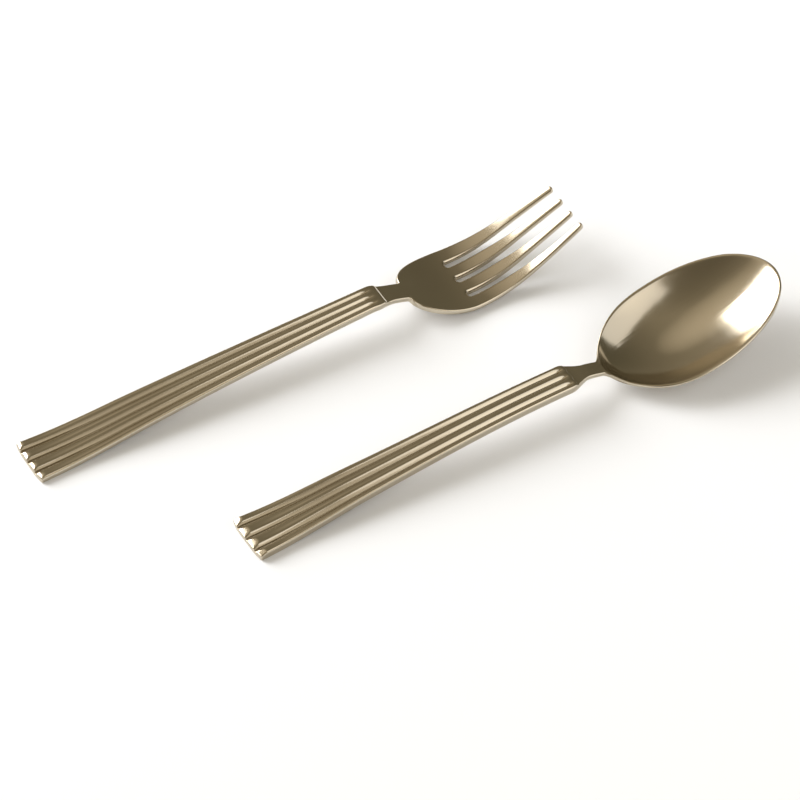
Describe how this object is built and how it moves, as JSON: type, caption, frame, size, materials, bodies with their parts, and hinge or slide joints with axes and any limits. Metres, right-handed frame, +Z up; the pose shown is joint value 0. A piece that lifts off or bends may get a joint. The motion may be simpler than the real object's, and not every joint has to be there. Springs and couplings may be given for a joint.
{
  "type": "fork and spoon cutlery set",
  "caption": "Fork and spoon of a plastic cutlery pack, laid side by side, with reeded tapering handles and a bright champagne-gold metallised finish.",
  "frame": {"origin": "centre of the laid-out set's bounding box, on the table plane that both pieces rest on", "axes": "+X along the pieces from their handle ends to the tines and the bowl, +Y from the spoon to the fork, +Z up from the table"},
  "size_m": [0.23, 0.0912, 0.0172],
  "materials": {
    "metallised_plastic": "vacuum-metallised, mirror-bright champagne gold over moulded plastic"
  },
  "bodies": {
    "root": {"fork": "metallised_plastic", "spoon": "metallised_plastic"}
  },
  "joints": []
}
